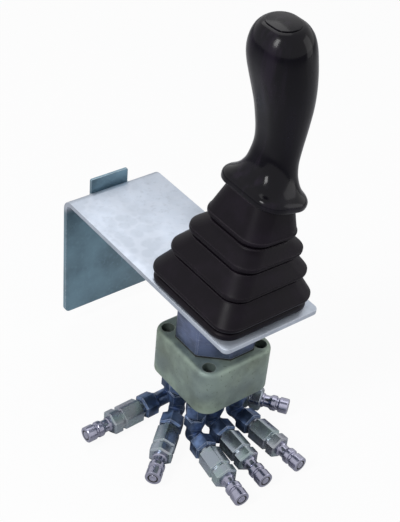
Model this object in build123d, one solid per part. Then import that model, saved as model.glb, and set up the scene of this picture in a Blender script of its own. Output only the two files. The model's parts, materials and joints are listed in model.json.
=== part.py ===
from build123d import *
import math
import os

os.makedirs("parts", exist_ok=True)

# ---- driving dimensions, in millimetres ----
# Frame: the origin is the centre of the hook strip's rear face, +Z up, -Y out to the front.
strip_width = 45.0
strip_thickness = 3.0
strip_height = 70.0
sheet = 5.0
shelf_width = 110.0
shelf_length = 271.0        # from the panel to the shelf's front edge
shelf_top_z = 25.0
leg_bottom_z = -125.0
bend_outer = 13.0
corner_cut = 6.0

stick_to_front = 66.0      # from the lever's axis to the shelf's front edge
pivot_z = 37.0             # centre of the universal joint
neck_radius = 31.0
neck_top_z = 23.5
running = 0.05             # radial running clearance
loose = 0.5                # radial clearance of holes that only pass a piece

retainer_x = 100.0
retainer_y = 112.0
retainer_thickness = 1.5
screw_x = 36.0
screw_y = 44.0

housing_half_x = 39.0
housing_back = 31.0        # reach behind the lever's axis
housing_front = 30.0       # reach in front of it
housing_bottom_z = -33.0

body_x0 = -49.0
body_x1 = 37.0
body_front = 39.0
body_back = 52.0
body_bottom_z = -87.0
body_top_z = -35.0
body_corner = 16.0
bolt_reach_x = 31.0
bolt_reach_y = 33.0
pocket_radius = 6.5
pocket_depth = 14.0

rod_radius = 4.0
rod_circle = 20.0
rod_rest_gap = 0.8
rod_travel = 7.5
cavity_radius = 7.5
cavity_floor_z = -30.0
bush_bottom_z = 8.0
bush_flange = 1.0
seat_radius = 6.9
seat_z0 = -4.0
seat_height = 3.0
spring_coil_radius = 5.6
spring_wire = 0.7
spring_turns = 5.0

pin_radius = 2.0
cross_reach = 8.0
cross_half = 4.5
ear_inner = 5.2
ear_outer = 8.2
ear_half = 4.0
base_top = 9.7             # distance from the pivot to either yoke's web
web_thickness = 3.0
stud_radius = 4.0

disc_hub_radius = 15.0
disc_wall = 2.5
disc_ring_radius = 27.0
disc_ring_height = 5.0
disc_hub_z0 = 13.2
disc_hub_z1 = 16.2

port_axis_z = -133.0
nipple_radius = 8.05
hex_flats = 22.0
poppet_radius = 4.0
poppet_stroke = 5.0
flow_radius = 2.5

# each port: (foot x, foot y, tip x, tip y), with y measured from the lever's axis
port_layout = [
    (-24.0, 42.0, -129.0, 39.0),
    (-32.0, 21.0, -105.5, -42.0),
    (-38.0, -16.0, -50.0, -109.0),
    (-11.0, -11.0, -16.5, -103.5),
    (17.0, -11.0, 25.0, -106.5),
    (9.0, 39.0, 66.0, -39.0),
]

shelf_front_y = -shelf_length
stick_y = shelf_front_y + stick_to_front
housing_back_y = stick_y + housing_back
housing_front_y = stick_y - housing_front
body_y0 = stick_y - body_front
body_y1 = stick_y + body_back
body_x = (body_x0 + body_x1) / 2
body_y = (body_y0 + body_y1) / 2
shelf_bottom_z = shelf_top_z - sheet
leg_front_y = -strip_thickness - sheet
seat_z1 = seat_z0 + seat_height
ports = [(x0, stick_y + y0, x1, stick_y + y1) for x0, y0, x1, y1 in port_layout]
rod_places = [
    (0.0, stick_y - rod_circle),
    (0.0, stick_y + rod_circle),
    (rod_circle, stick_y),
    (-rod_circle, stick_y),
]
bolt_places = [
    (body_x + i * bolt_reach_x, body_y + j * bolt_reach_y) for i in (-1, 1) for j in (-1, 1)
]
shelf_screw_places = [(i * screw_x, stick_y + j * screw_y) for i in (-1, 1) for j in (-1, 1)]


def write(shape, name):
    export_step(shape, "parts/" + name + ".step")


def rod(radius, z0, z1, x=0.0, y=0.0):
    return Pos(x, y, (z0 + z1) / 2) * Cylinder(radius, z1 - z0)


def block(x0, x1, y0, y1, z0, z1):
    place = Pos((x0 + x1) / 2, (y0 + y1) / 2, (z0 + z1) / 2)
    return place * Box(x1 - x0, y1 - y0, z1 - z0)


def hex_bar(flats, z0, z1, bevel=1.0):
    bar = extrude(Pos(0, 0, z0) * RegularPolygon(flats / 2, 6, major_radius=False), z1 - z0)
    corner = flats / math.sqrt(3)
    turned = rod(corner, z0, z1)
    rim = turned.edges().filter_by(GeomType.CIRCLE)
    return bar & chamfer(rim, bevel)


def turned_piece(points):
    outline = Polyline(*[(r, 0, z) for r, z in points], close=True)
    return revolve(make_face(outline), Axis.Z)


def rounded_layer(size_x, size_y, corner, x, y, z):
    return Pos(x, y, z) * RectangleRounded(size_x, size_y, corner)


# ---- bracket ----
def bracket_plate():
    back = -strip_thickness
    bend_y = back - bend_outer
    bend_z = shelf_top_z - bend_outer
    k = math.sqrt(0.5)
    inner = bend_outer - sheet
    outline = Polyline((0, back, leg_bottom_z), (0, back, bend_z))
    outline += ThreePointArc(
        (0, back, bend_z),
        (0, bend_y + bend_outer * k, bend_z + bend_outer * k),
        (0, bend_y, shelf_top_z),
    )
    outline += Polyline(
        (0, bend_y, shelf_top_z),
        (0, shelf_front_y, shelf_top_z),
        (0, shelf_front_y, shelf_bottom_z),
        (0, bend_y, shelf_bottom_z),
    )
    outline += ThreePointArc(
        (0, bend_y, shelf_bottom_z),
        (0, bend_y + inner * k, bend_z + inner * k),
        (0, leg_front_y, bend_z),
    )
    outline += Polyline((0, leg_front_y, bend_z), (0, leg_front_y, leg_bottom_z), (0, back, leg_bottom_z))
    plate = extrude(make_face(outline), shelf_width / 2, dir=(1, 0, 0), both=True)
    corners = plate.edges().filter_by(Axis.Z).filter_by(lambda e: e.center().Y < shelf_front_y + 1)
    plate = fillet(corners, corner_cut)
    low = plate.edges().filter_by(Axis.Y).filter_by(lambda e: e.center().Z < leg_bottom_z + 1)
    plate = fillet(low, corner_cut)
    plate -= rod(neck_radius + loose, shelf_bottom_z - 1, shelf_top_z + 1, 0, stick_y)
    for x, y in shelf_screw_places:
        plate -= rod(2.6, shelf_bottom_z - 1, shelf_top_z + 1, x, y)
    return plate


def hook_strip():
    strip = block(
        -strip_width / 2, strip_width / 2, -strip_thickness, 0, -strip_height / 2, strip_height / 2
    )
    corners = strip.edges().filter_by(Axis.Y)
    return fillet(corners, 2.0)


# ---- boot and its fixing ----
def boot_retainer():
    ring = extrude(rounded_layer(retainer_x, retainer_y, 17, 0, stick_y, shelf_top_z), retainer_thickness)
    ring -= extrude(rounded_layer(66, 80, 12, 0, stick_y, shelf_top_z), retainer_thickness)
    for x, y in shelf_screw_places:
        ring -= rod(2.6, shelf_top_z, shelf_top_z + 2, x, y)
    return ring


grip_base_x = 25.0
grip_base_z = 128.0
grip_height = 162.0
grip_tilt = 13.0
boot_top_x = 22.0
boot_top_y = -3.0
boot_top_z = grip_base_z + (grip_base_x - boot_top_x) * math.tan(math.radians(grip_tilt))

boot_foot_x = 53.0
boot_foot_y = 59.0
boot_foot_top = 30.0
boot_corner = 18.0
boot_neck_x = 24.0
boot_neck_y = 31.0
# each fold: (height of its rim, half width, half depth)
boot_folds = [(37.5, 54.2, 61.2), (62.2, 46.6, 53.6), (84.0, 38.8, 46.3), (102.5, 30.6, 39.0)]
# the outline round each rim: (height above the rim, how far it lies inside the rim)
fold_outline = [(-6.7, 2.6), (-5.2, 4.8), (-3.9, 4.2), (-2.0, 1.0), (0.0, 0.0), (2.6, 0.6)]


def boot_rows():
    rows = [(shelf_top_z, boot_foot_x, boot_foot_y), (boot_foot_top, boot_foot_x, boot_foot_y)]
    for fold_z, half_x, half_y in boot_folds:
        for rise, inside in fold_outline:
            if fold_z + rise > boot_foot_top + 1.0:
                rows.append((fold_z + rise, half_x - inside, half_y - inside))
    rows.append((boot_top_z, boot_neck_x, boot_neck_y))
    return rows
boot_wall = 2.5
boot_roof = 4.0


def boot_solid(inset, roof):
    faces = []
    for z, half_x, half_y in boot_rows():
        share = max(0.0, (z - boot_foot_top) / (boot_top_z - boot_foot_top))
        x = boot_top_x * share**1.15
        y = stick_y + boot_top_y * share
        drop = roof if z == boot_top_z else 0.0
        face = RectangleRounded(2 * (half_x - inset), 2 * (half_y - inset), boot_corner - inset)
        faces.append(Pos(x, y, z - drop) * Rot(0, grip_tilt * share**3, 0) * face)
    return loft(faces, ruled=True)


def rubber_boot():
    boot = boot_solid(0.0, 0.0)
    boot -= boot_solid(boot_wall, boot_roof)
    return boot - lean() * rod(lever_radius, 0, lever_top)


# ---- valve ----
def housing_prism(z0, z1):
    points = [
        (-14.0, housing_front_y), (14.0, housing_front_y), (housing_half_x, stick_y - 8),
        (housing_half_x, stick_y + 11), (20.0, housing_back_y), (-33.0, housing_back_y),
        (-housing_half_x, stick_y + 25), (-housing_half_x, stick_y - 8),
    ]
    face = make_face(Polyline(*[(x, y, z0) for x, y in points], close=True))
    return extrude(face, z1 - z0, dir=(0, 0, 1))


def upper_housing():
    shape = housing_prism(housing_bottom_z, shelf_bottom_z)
    shape = chamfer(shape.edges().filter_by(Axis.Z), 1.5)
    shape += rod(neck_radius, shelf_bottom_z, neck_top_z, 0, stick_y)
    for x, y in rod_places:
        shape -= rod(cavity_radius, cavity_floor_z, neck_top_z + 1, x, y)
    shape -= rod(stud_radius, 2.0, neck_top_z + 1, 0, stick_y)
    return shape


def port_frame(port):
    x0, y0, x1, y1 = port
    length = math.hypot(x1 - x0, y1 - y0)
    angle = math.degrees(math.atan2(y1 - y0, x1 - x0))
    return Pos(x1, y1, port_axis_z) * Rot(0, 0, angle) * Rot(0, -90, 0), length


def lower_body():
    shape = block(body_x0, body_x1, body_y0, body_y1, body_bottom_z, body_top_z)
    shape = fillet(shape.edges().filter_by(Axis.Z), body_corner)
    shape = fillet(shape.faces().sort_by(Axis.Z)[-1].edges(), 5.0)
    shape = fillet(shape.faces().sort_by(Axis.Z)[0].edges(), 2.0)
    for x, y in bolt_places:
        shape -= rod(pocket_radius, body_top_z - pocket_depth, body_top_z + 1, x, y)
        shape -= rod(3.3, body_bottom_z + 8, body_top_z, x, y)
    for x0, y0, x1, y1 in ports:
        shape -= rod(5.5, body_bottom_z - 1, body_bottom_z + 14, x0, y0)
    return shape


def body_gasket():
    gasket = housing_prism(body_top_z, housing_bottom_z)
    return gasket - block(body_x1 - 2, 100, -300, 0, body_top_z - 1, housing_bottom_z + 1)


def body_bolts():
    bolts = []
    for x, y in bolt_places:
        seat = body_top_z - pocket_depth
        head = rod(5.0, seat, seat + 6.0, x, y)
        socket = extrude(Pos(x, y, seat + 3.0) * RegularPolygon(2.5, 6, major_radius=False), 4.0)
        shank = rod(3.0, body_bottom_z + 10, seat, x, y)
        bolts.append(head + shank - socket)
    return Compound(children=bolts)


def shelf_screws():
    screws = []
    for x, y in shelf_screw_places:
        top = shelf_top_z + retainer_thickness
        head = rod(4.5, top, top + 2.8, x, y)
        socket = extrude(Pos(x, y, top + 1.2) * RegularPolygon(1.5, 6, major_radius=False), 3.0)
        shank = rod(2.5, shelf_bottom_z - 6, top, x, y)
        screws.append(head + shank - socket)
    return Compound(children=screws)


def shelf_nuts():
    nuts = []
    for x, y in shelf_screw_places:
        nut = Pos(x, y, 0) * hex_bar(8.0, shelf_bottom_z - 4.0, shelf_bottom_z, 0.5)
        nuts.append(nut - rod(2.5, shelf_bottom_z - 5, shelf_bottom_z + 1, x, y))
    return Compound(children=nuts)


# ---- push rods with their bushes, seals and springs ----
def plunger_bushes():
    bushes = []
    for x, y in rod_places:
        bush = rod(cavity_radius, bush_bottom_z, neck_top_z, x, y)
        bush += rod(cavity_radius + 1.0, neck_top_z, neck_top_z + bush_flange, x, y)
        bush -= rod(rod_radius + running, bush_bottom_z - 1, neck_top_z + 2, x, y)
        bush -= rod(rod_radius + 2.0, neck_top_z - 3, neck_top_z + 2, x, y)
        bushes.append(bush)
    return Compound(children=bushes)


def plunger_seals():
    seals = []
    for x, y in rod_places:
        seal = rod(rod_radius + 2.0, neck_top_z - 3, neck_top_z + bush_flange, x, y)
        seals.append(seal - rod(rod_radius + running, neck_top_z - 4, neck_top_z + 3, x, y))
    return Compound(children=seals)


def push_rod(x, y):
    tip = pivot_z - rod_rest_gap
    body = rod(rod_radius, seat_z0 - 6, tip - rod_radius, x, y)
    body += Pos(x, y, tip - rod_radius) * Sphere(rod_radius)
    body += rod(seat_radius, seat_z0, seat_z1, x, y)
    return body


def return_spring(x, y):
    wire_low = cavity_floor_z + spring_wire
    height = seat_z0 - spring_wire - wire_low
    path = Helix(height / spring_turns, height, spring_coil_radius)
    start = path @ 0
    section = Plane(origin=start, z_dir=path % 0) * Circle(spring_wire)
    coil = sweep(section, path=path, is_frenet=True)
    return Pos(x, y, wire_low) * coil


# ---- universal joint and disc ----
def yoke():
    low = pivot_z - base_top
    web = rod(10.5, low - web_thickness, low, 0, stick_y)
    ears = block(ear_inner, ear_outer, -ear_half, ear_half, low - 1, pivot_z)
    ears += Pos((ear_inner + ear_outer) / 2, 0, pivot_z) * Rot(0, 90, 0) * Cylinder(
        ear_half, ear_outer - ear_inner
    )
    ears += Rot(0, 0, 180) * ears
    shape = web + Pos(0, stick_y, 0) * ears
    bore = Pos(0, stick_y, pivot_z) * Rot(0, 90, 0) * Cylinder(pin_radius + running, 40)
    return shape - bore


def lower_yoke():
    low = pivot_z - base_top - web_thickness
    stud = rod(stud_radius, 4.0, low, 0, stick_y)
    collar = rod(8.0, neck_top_z, low, 0, stick_y)
    return yoke() + stud + collar


def upper_yoke():
    flipped = Pos(0, stick_y, pivot_z) * Rot(180, 0, 90) * Pos(0, -stick_y, -pivot_z) * yoke()
    low = pivot_z + base_top + web_thickness
    return flipped + rod(stud_radius, low, pivot_z + disc_hub_z1 + 8.0, 0, stick_y)


def joint_cross():
    centre = Pos(0, stick_y, pivot_z)
    shape = centre * Box(2 * cross_half, 2 * cross_half, 2 * cross_half)
    shape += centre * Rot(0, 90, 0) * Cylinder(pin_radius, 2 * cross_reach)
    shape += centre * Rot(90, 0, 0) * Cylinder(pin_radius, 2 * cross_reach)
    return shape


def actuating_disc():
    inner = disc_hub_radius - disc_wall
    shape = rod(disc_ring_radius, pivot_z, pivot_z + disc_ring_height, 0, stick_y)
    shape += rod(disc_hub_radius, pivot_z, pivot_z + disc_hub_z1, 0, stick_y)
    shape -= rod(inner, pivot_z - 1, pivot_z + base_top + web_thickness, 0, stick_y)
    shape -= rod(stud_radius, pivot_z, pivot_z + disc_hub_z1 + 1, 0, stick_y)
    return shape


def disc_nut():
    low = pivot_z + disc_hub_z1
    nut = Pos(0, stick_y, 0) * hex_bar(13.0, low, low + 6.0)
    return nut - rod(stud_radius, low - 1, low + 7, 0, stick_y)


lever_lean = 20.0
lever_knee_z = pivot_z + disc_hub_z1 + 14.0
lever_top = 92.0
lever_radius = 6.0
insert_radius = 9.0


def lean():
    return Pos(0, stick_y, lever_knee_z) * Rot(0, lever_lean, 0)


def lever_rod():
    low = pivot_z + disc_hub_z1 + 6.0
    sleeve = rod(lever_radius, low, lever_knee_z, 0, stick_y)
    sleeve -= rod(stud_radius, low - 1, low + 2.0, 0, stick_y)
    knee = Pos(0, stick_y, lever_knee_z) * Sphere(lever_radius)
    arm = lean() * rod(lever_radius, 0, lever_top)
    return sleeve + knee + arm


# ---- grip ----
grip_layers = [
    # half x, half y, corner, centre x, centre y from the lever's axis, share of the grip's height, tilt
    (29.0, 40.0, 22.0, grip_base_x, -1.0, 0.000, grip_tilt),
    (29.5, 40.5, 22.5, 26.5, -1.0, 0.035, 13.0),
    (27.0, 37.0, 21.0, 27.5, -1.0, 0.064, 13.0),
    (21.5, 28.0, 18.0, 30.0, -1.0, 0.110, 12.0),
    (18.5, 23.5, 17.0, 34.0, 0.0, 0.208, 9.0),
    (18.0, 23.0, 17.0, 37.0, 0.0, 0.301, 5.0),
    (20.0, 25.0, 18.5, 38.0, 0.5, 0.416, 0.0),
    (23.0, 27.5, 21.0, 37.5, 1.0, 0.543, -4.0),
    (26.0, 30.0, 24.0, 34.5, 2.5, 0.682, -8.0),
    (27.5, 31.0, 25.5, 31.0, 4.0, 0.809, -9.0),
    (26.0, 29.5, 24.0, 29.0, 4.5, 0.902, -8.0),
    (21.0, 25.0, 19.5, 28.5, 5.0, 0.971, -6.0),
    (15.0, 19.0, 14.0, 28.5, 5.0, 1.000, -5.0),
]


def grip_section(layer):
    half_x, half_y, corner, x, y, z, tilt = layer
    place = Pos(x, stick_y + y, grip_base_z + z * grip_height)
    return place * Rot(0, tilt, 0) * RectangleRounded(2 * half_x, 2 * half_y, corner)


def grip():
    shape = loft([grip_section(layer) for layer in grip_layers[:4]], ruled=True)
    shape += loft([grip_section(layer) for layer in grip_layers[3:]])
    return shape - lean() * rod(insert_radius, lever_top - 25.0, lever_top) - lean() * rod(lever_radius, 0, lever_top)


def grip_insert():
    sleeve = lean() * rod(insert_radius, lever_top - 25.0, lever_top)
    return sleeve - lean() * rod(lever_radius, 0, lever_top)


def grip_cap():
    x, y, z, tilt = grip_layers[-1][3:7]
    place = Pos(x, stick_y + y, grip_base_z + z * grip_height) * Rot(0, tilt, 0)
    cap = extrude(RectangleRounded(26.0, 34.0, 12.5), 1.6)
    cap = fillet(cap.faces().sort_by(Axis.Z)[-1].edges(), 0.8)
    return place * cap


# ---- fittings: each leg runs along +Z from the tip towards the elbow ----
nipple_end = 28.0
adaptor_end = 64.0
ring_end = 67.0
nut_end = 83.0


def nipple():
    shape = turned_piece([
        (0, 0), (7.2, 0), (nipple_radius, 0.8), (nipple_radius, 9.0), (6.6, 10.0), (6.6, 12.0),
        (nipple_radius, 13.0), (nipple_radius, 18.0), (6.2, 20.0), (6.2, nipple_end), (0, nipple_end),
    ])
    shape -= rod(poppet_radius + running + 1.2, -1, 1.0)
    shape -= rod(poppet_radius + running, -1, 16.0)
    return shape - rod(flow_radius, 15.0, nipple_end + 1)


def nipple_seal():
    seal = rod(poppet_radius + running + 1.2, 0.1, 1.0)
    return seal - rod(poppet_radius + running, -1, 2)


def poppet():
    return rod(poppet_radius, 0.0, 5.0) + rod(2.2, 5.0, 9.0)


def adaptor():
    shape = hex_bar(hex_flats, nipple_end, nipple_end + 11.0, 1.2)
    shape += rod(10.2, nipple_end + 11.0, nipple_end + 12.5)
    shape += hex_bar(hex_flats, nipple_end + 12.5, adaptor_end, 1.2)
    shape += rod(8.5, adaptor_end, ring_end)
    return shape - rod(flow_radius, nipple_end - 1, ring_end + 1)


def swivel_nut():
    nut = hex_bar(hex_flats, ring_end, nut_end, 1.6)
    return nut - rod(flow_radius, ring_end - 1, nut_end + 1)


def elbow(port):
    place, length = port_frame(port)
    arm = rod(8.6, nut_end, nut_end + 3.0) + rod(7.8, nut_end + 3.0, length)
    arm += Pos(0, 0, length) * Sphere(8.6)
    arm = place * arm
    x, y = port[0], port[1]
    stem_top = body_bottom_z - 3.0
    stem = rod(8.2, port_axis_z, -112.0, x, y)
    stem += Pos(x, y, 0) * hex_bar(19.0, -121.0, -107.0, 1.0)
    stem += rod(5.5, -107.0, body_bottom_z + 12.0, x, y)
    flow = place * rod(flow_radius, nut_end - 1, length)
    flow += Pos(x, y, port_axis_z) * Sphere(flow_radius)
    flow += rod(flow_radius, port_axis_z, body_bottom_z + 13.0, x, y)
    return arm + stem - flow


def stud_locknuts():
    nuts = []
    for x, y, tip_x, tip_y in ports:
        nut = Pos(x, y, 0) * hex_bar(19.0, -104.0, body_bottom_z - 2.5, 1.0)
        nuts.append(nut - rod(5.5, -105, body_bottom_z, x, y))
    return Compound(children=nuts)


def stud_seals():
    seals = []
    for x, y, tip_x, tip_y in ports:
        seal = rod(8.8, body_bottom_z - 2.5, body_bottom_z, x, y)
        seals.append(seal - rod(5.5, body_bottom_z - 4, body_bottom_z + 1, x, y))
    return Compound(children=seals)


def along_ports(shape):
    return Compound(children=[port_frame(port)[0] * shape for port in ports])


write(bracket_plate(), "bracket_plate")
write(hook_strip(), "hook_strip")
write(boot_retainer(), "boot_retainer")
write(rubber_boot(), "rubber_boot")
write(upper_housing(), "upper_housing")
write(lower_body(), "lower_body")
write(body_gasket(), "body_gasket")
write(body_bolts(), "body_bolts")
write(shelf_screws(), "shelf_screws")
write(shelf_nuts(), "shelf_nuts")
write(plunger_bushes(), "plunger_bushes")
write(plunger_seals(), "plunger_seals")
for number, (rod_x, rod_y) in enumerate(rod_places, 1):
    write(push_rod(rod_x, rod_y), "push_rod_" + str(number))
    write(return_spring(rod_x, rod_y), "return_spring_" + str(number))
write(lower_yoke(), "lower_yoke")
write(joint_cross(), "joint_cross")
write(upper_yoke(), "upper_yoke")
write(actuating_disc(), "actuating_disc")
write(disc_nut(), "disc_nut")
write(lever_rod(), "lever_rod")
write(grip(), "grip")
write(grip_insert(), "grip_insert")
write(grip_cap(), "grip_cap")
write(stud_locknuts(), "stud_locknuts")
write(stud_seals(), "stud_seals")
write(along_ports(swivel_nut()), "swivel_nuts")
write(along_ports(adaptor()), "adaptors")
write(along_ports(nipple()), "nipples")
write(along_ports(nipple_seal()), "nipple_seals")
for number, port in enumerate(ports, 1):
    write(elbow(port), "elbow_" + str(number))
    write(port_frame(port)[0] * poppet(), "poppet_" + str(number))
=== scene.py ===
"""Dresses the pilot joystick valve: bracket, bellows boot, grip, valve body and coupler legs.

Run as a script in Blender. The sizes and colours are scene properties, each group of pieces
is an operator, and the panel in the 3D view's sidebar lists them.
"""

import json
import math

import bmesh
import bpy
from mathutils import Matrix, Vector


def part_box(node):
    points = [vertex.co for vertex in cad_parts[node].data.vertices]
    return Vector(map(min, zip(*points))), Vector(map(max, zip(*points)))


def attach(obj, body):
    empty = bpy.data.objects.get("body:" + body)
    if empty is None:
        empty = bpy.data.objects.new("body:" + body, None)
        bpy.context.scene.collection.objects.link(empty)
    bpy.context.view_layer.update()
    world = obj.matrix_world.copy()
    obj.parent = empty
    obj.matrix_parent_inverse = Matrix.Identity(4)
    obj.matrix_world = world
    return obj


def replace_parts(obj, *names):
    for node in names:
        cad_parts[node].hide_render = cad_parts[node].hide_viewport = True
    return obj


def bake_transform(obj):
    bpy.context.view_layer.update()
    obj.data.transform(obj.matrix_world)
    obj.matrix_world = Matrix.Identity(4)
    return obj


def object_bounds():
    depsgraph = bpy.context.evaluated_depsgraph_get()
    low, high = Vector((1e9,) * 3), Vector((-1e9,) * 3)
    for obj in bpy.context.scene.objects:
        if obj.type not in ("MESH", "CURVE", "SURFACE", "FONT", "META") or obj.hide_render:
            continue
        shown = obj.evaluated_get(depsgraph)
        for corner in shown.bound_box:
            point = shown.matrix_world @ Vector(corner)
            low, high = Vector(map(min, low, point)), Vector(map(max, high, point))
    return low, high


bl_info = {
    "name": "Pilot joystick valve",
    "version": (1, 0, 0),
    "blender": (4, 5, 0),
    "location": "View3D > Sidebar > Joystick",
    "description": "Builds the pieces and finishes of a hydraulic pilot joystick valve",
    "category": "Object",
}

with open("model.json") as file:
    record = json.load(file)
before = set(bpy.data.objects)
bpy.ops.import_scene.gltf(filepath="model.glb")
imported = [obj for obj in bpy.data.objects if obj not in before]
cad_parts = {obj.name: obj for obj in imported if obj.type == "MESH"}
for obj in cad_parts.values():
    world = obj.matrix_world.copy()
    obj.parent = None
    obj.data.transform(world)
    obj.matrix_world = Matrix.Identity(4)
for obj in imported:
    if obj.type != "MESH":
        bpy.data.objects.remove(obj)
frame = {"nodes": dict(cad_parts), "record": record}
cad_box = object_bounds()

MM = 0.001
STICK = Vector((0.0, -0.205, 0.0))

# Each leg: (foot x, foot y, tip x, tip y), in millimetres.
LEGS = [
    (-24.0, -163.0, -129.0, -166.0),
    (-32.0, -184.0, -105.5, -247.0),
    (-38.0, -221.0, -50.0, -314.0),
    (-11.0, -216.0, -16.5, -308.5),
    (17.0, -216.0, 25.0, -311.5),
    (9.0, -166.0, 66.0, -244.0),
]


# ---- properties ----
def length(name, about, default):
    return bpy.props.FloatProperty(
        name=name, description=about, default=default, min=0.0, unit="LENGTH", subtype="DISTANCE"
    )


def colour(name, about, default):
    return bpy.props.FloatVectorProperty(
        name=name, description=about, default=default, size=3, min=0.0, max=1.0, subtype="COLOR"
    )


class JoystickSizes(bpy.types.PropertyGroup):
    """Sizes of the visible pieces"""

    sheet: length("Sheet", "Thickness of the bracket's plate", 0.005)
    bend: length("Bend", "Outside radius of the bracket's bend", 0.013)
    edge: length("Edge break", "Size of the small bevel on cut metal edges", 0.0005)
    rubber: length("Rubber", "Thickness of the boot's wall", 0.0025)
    flats: length("Flats", "Width across the flats of the coupler hexagons", 0.022)
    nipple: length("Nipple", "Radius of the coupler nipples", 0.00805)
    pipe: length("Elbow", "Radius of the elbows' arms", 0.0078)
    neck_hole: length("Neck hole", "Radius of the plate's hole for the valve's neck", 0.0315)
    screw_hole: length("Screw hole", "Radius of the plate's screw holes", 0.0026)
    leg_drop: length("Leg depth", "How far the coupler legs lie below the origin", 0.133)


class JoystickColours(bpy.types.PropertyGroup):
    """Colours of the finishes"""

    plate: colour("Plate", "Zinc plate on the shelf", (0.47, 0.52, 0.60))
    # Painted shade: the rear leg is the same zinc sheet as the shelf, drawn in a darker, duller blue
    # where it faces away from the lamps.
    plate_leg: colour("Plate, rear leg", "Duller blue of the hanging leg", (0.155, 0.245, 0.30))
    rubber: colour("Rubber", "Moulded boot", (0.0055, 0.0038, 0.0068))
    grip: colour("Grip", "Gloss moulding", (0.0030, 0.0024, 0.0052))
    housing: colour("Housing", "Blue-grey zinc", (0.095, 0.12, 0.205))
    casting: colour("Casting", "Yellow-green passivate", (0.255, 0.315, 0.255))
    nuts: colour("Nuts", "Dark blue zinc", (0.075, 0.115, 0.21))
    bright: colour("Bright zinc", "Coupler hexagons", (0.30, 0.34, 0.39))
    nickel: colour("Nickel", "Coupler nipples", (0.30, 0.30, 0.38))


def sizes():
    return bpy.context.scene.joystick_sizes


def colours():
    return bpy.context.scene.joystick_colours


# ---- shader arithmetic ----
class Wire:
    """A node's output that can be added, multiplied and so on."""

    def __init__(self, finish, socket):
        self.finish = finish
        self.socket = socket

    def math(self, operation, left, right=None):
        values = [left] if right is None else [left, right]
        return self.finish.node("ShaderNodeMath", dict(enumerate(values)), operation=operation)

    def __add__(self, other):
        return self.math("ADD", self, other)

    def __radd__(self, other):
        return self.math("ADD", other, self)

    def __sub__(self, other):
        return self.math("SUBTRACT", self, other)

    def __rsub__(self, other):
        return self.math("SUBTRACT", other, self)

    def __mul__(self, other):
        return self.math("MULTIPLY", self, other)

    def __rmul__(self, other):
        return self.math("MULTIPLY", other, self)

    def __truediv__(self, other):
        return self.math("DIVIDE", self, other)

    def __pow__(self, other):
        return self.math("POWER", self, other)


class Finish:
    """A material whose surface is worked out from the object's own coordinates."""

    def __init__(self, name):
        self.material = bpy.data.materials.new(name)
        self.material.use_nodes = True
        self.tree = self.material.node_tree
        self.tree.nodes.clear()
        self.shader = self.tree.nodes.new("ShaderNodeBsdfPrincipled")
        output = self.tree.nodes.new("ShaderNodeOutputMaterial")
        self.tree.links.new(self.shader.outputs[0], output.inputs["Surface"])
        self.output = output
        self.place = self.node("ShaderNodeTexCoord", out="Object")

    def feed(self, socket, value):
        if isinstance(value, Wire):
            self.tree.links.new(value.socket, socket)
        elif hasattr(socket.default_value, "__len__") and len(socket.default_value) == 4:
            socket.default_value = (*value[:3], 1.0)
        else:
            socket.default_value = value

    def node(self, kind, inputs=None, out=0, **settings):
        made = self.tree.nodes.new(kind)
        for key, value in settings.items():
            setattr(made, key, value)
        for key, value in (inputs or {}).items():
            self.feed(made.inputs[key], value)
        return Wire(self, made.outputs[out])

    def stretched(self, x, y, z):
        return self.node("ShaderNodeMapping", {"Vector": self.place, "Scale": (x, y, z)})

    def noise(self, scale, detail=3.0, place=None, rough=0.55):
        inputs = {
            "Vector": place or self.place, "Scale": scale, "Detail": detail, "Roughness": rough
        }
        return self.node("ShaderNodeTexNoise", inputs)

    def cells(self, scale, feature="F1", out="Distance"):
        inputs = {"Vector": self.place, "Scale": scale}
        return self.node("ShaderNodeTexVoronoi", inputs, out=out, feature=feature)

    def step(self, value, low, high, to_low=0.0, to_high=1.0):
        inputs = {0: value, 1: low, 2: high, 3: to_low, 4: to_high}
        return self.node("ShaderNodeMapRange", inputs, interpolation_type="SMOOTHSTEP")

    def mix(self, one, other, factor):
        inputs = {0: factor, 6: one, 7: other}
        return self.node("ShaderNodeMix", inputs, out=2, data_type="RGBA")

    def sharp_edge_mask(self, width):
        """1 on sharp outer edges and 0 elsewhere"""
        rounded = self.node("ShaderNodeBevel", {"Radius": width}, samples=4)
        plain = self.node("ShaderNodeNewGeometry", out="Normal")
        inputs = {0: rounded, 1: plain}
        dot = self.node("ShaderNodeVectorMath", inputs, out="Value", operation="DOT_PRODUCT")
        return self.step(dot, 0.995, 0.90)

    def height(self, value):
        return self.node("ShaderNodeSeparateXYZ", {0: self.place}, out=value)

    def set(self, **values):
        for key, value in values.items():
            self.feed(self.shader.inputs[key.replace("_", " ")], value)

    def bump(self, value, depth, strength=1.0):
        inputs = {"Height": value, "Distance": depth, "Strength": strength}
        wire = self.node("ShaderNodeBump", inputs)
        self.tree.links.new(wire.socket, self.shader.inputs["Normal"])


def tint(base, factor):
    return tuple(min(1.0, part * factor) for part in base)


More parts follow.
